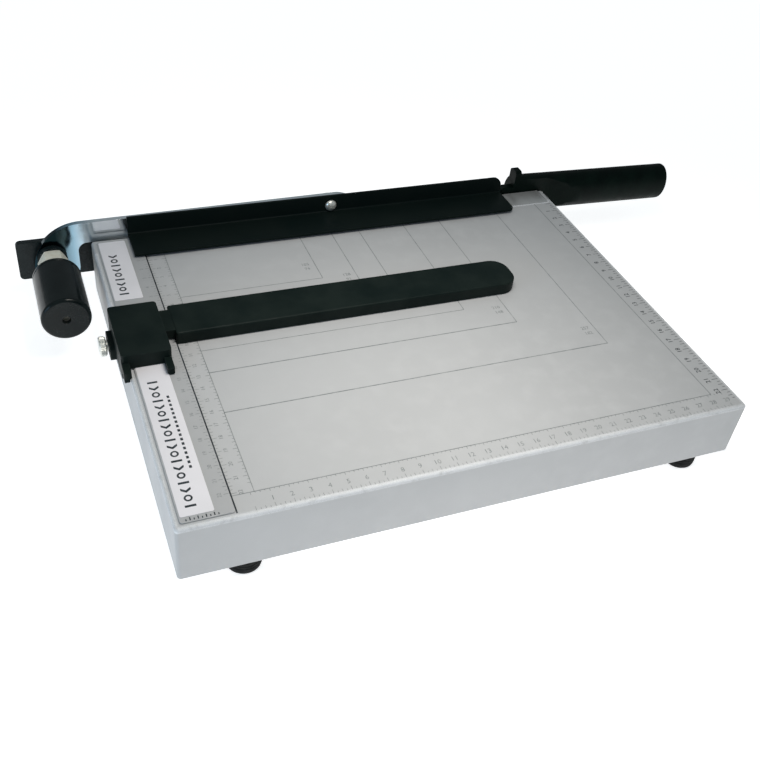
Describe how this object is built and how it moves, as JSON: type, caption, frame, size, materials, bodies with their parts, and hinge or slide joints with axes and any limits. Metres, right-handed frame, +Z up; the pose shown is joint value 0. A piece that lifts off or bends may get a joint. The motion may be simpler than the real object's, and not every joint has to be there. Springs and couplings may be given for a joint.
{
  "type": "guillotine paper cutter",
  "caption": "Desktop guillotine paper cutter: pressed steel bed on rubber feet, sprung pivot, swing arm with blade and grip, guard bar over the edge, sliding back gauge with clamp.",
  "frame": {"origin": "middle of the whole footprint, on the table under the feet", "axes": "+X along the cutting edge from the pivot to the grip, +Y from the front wall of the bed to the cutting edge, +Z up"},
  "size_m": [0.5024, 0.2732, 0.0642],
  "materials": {
    "grey_paint": "fine satin powder coat with thin printed lines and scales",
    "label_vinyl": "plain white vinyl",
    "bed_knife_steel": "ground flat",
    "zinc_screw": "bright zinc plate",
    "foot_rubber": "matt black",
    "black_paint": "semi-gloss black enamel",
    "zinc_plate": "pale passivated zinc plate",
    "spring_steel": "drawn wire, lightly oiled",
    "cover_plastic": "smooth black moulding",
    "arm_chrome": "polished",
    "blade_steel": "ground across the edge",
    "grip_plastic": "satin black moulding",
    "guard_paint": "satin black powder coat",
    "nickel": "nickel plate",
    "gauge_plastic": "satin black moulding"
  },
  "bodies": {
    "bed": {"bed_shell": "grey_paint", "side_fence": "grey_paint", "label_front": "label_vinyl", "label_back": "label_vinyl", "bed_knife": "bed_knife_steel", "bed_knife_screw_1": "zinc_screw", "bed_knife_screw_2": "zinc_screw", "bed_knife_screw_3": "zinc_screw", "bed_knife_screw_4": "zinc_screw", "foot_front_left": "foot_rubber", "foot_front_right": "foot_rubber", "foot_rear_left": "foot_rubber", "foot_rear_right": "foot_rubber", "foot_screw_front_left": "zinc_screw", "foot_screw_front_right": "zinc_screw", "foot_screw_rear_left": "zinc_screw", "foot_screw_rear_right": "zinc_screw", "pivot_bracket": "black_paint", "bracket_spacer": "zinc_plate", "bracket_screw_1": "zinc_screw", "bracket_screw_2": "zinc_screw", "bracket_nut_1": "zinc_screw", "bracket_nut_2": "zinc_screw", "pivot_bolt": "zinc_plate", "thrust_washer": "zinc_plate", "collar_nut": "zinc_plate", "pivot_bush": "black_paint", "spring_seat": "zinc_plate", "pivot_spring": "spring_steel", "spring_washer": "zinc_plate", "lock_nut": "zinc_plate", "spring_cover": "cover_plastic"},
    "arm": {"blade_arm": "arm_chrome", "cutting_blade": "blade_steel", "blade_rivet_1": "zinc_screw", "blade_rivet_2": "zinc_screw", "blade_rivet_3": "zinc_screw", "blade_rivet_4": "zinc_screw", "blade_rivet_5": "zinc_screw", "blade_rivet_6": "zinc_screw", "handle_grip": "grip_plastic", "handle_screw_1": "zinc_screw", "handle_screw_2": "zinc_screw", "guard_screw": "nickel", "guard_bush": "zinc_plate", "guard_nut": "zinc_plate"},
    "guard": {"guard_bar": "guard_paint"},
    "gauge": {"gauge_arm": "gauge_plastic", "gauge_head": "gauge_plastic", "gauge_screw_1": "zinc_screw", "gauge_screw_2": "zinc_screw"},
    "clamp": {"gauge_clamp_screw": "nickel"}
  },
  "joints": [
    {"name": "blade_hinge", "type": "hinge", "parent": "bed", "child": "arm", "pos_m": [-0.22967, 0.1237, 0.0365], "axis": [0, -1, 0], "range_deg": [0, 75]},
    {"name": "guard_pivot", "type": "hinge", "parent": "arm", "child": "guard", "pos_m": [-0.03917, 0.11855, 0.0554], "axis": [0, -1, 0], "range_deg": [-0.4, 0.4]},
    {"name": "gauge_slide", "type": "slide", "parent": "bed", "child": "gauge", "axis": [0, 1, 0], "range_m": [-0.1, 0.03]},
    {"name": "clamp_turn", "type": "hinge", "parent": "gauge", "child": "clamp", "pos_m": [-0.21367, 0.01535, 0.042], "axis": [1, 0, 0], "range_deg": [-360, 0]}
  ]
}
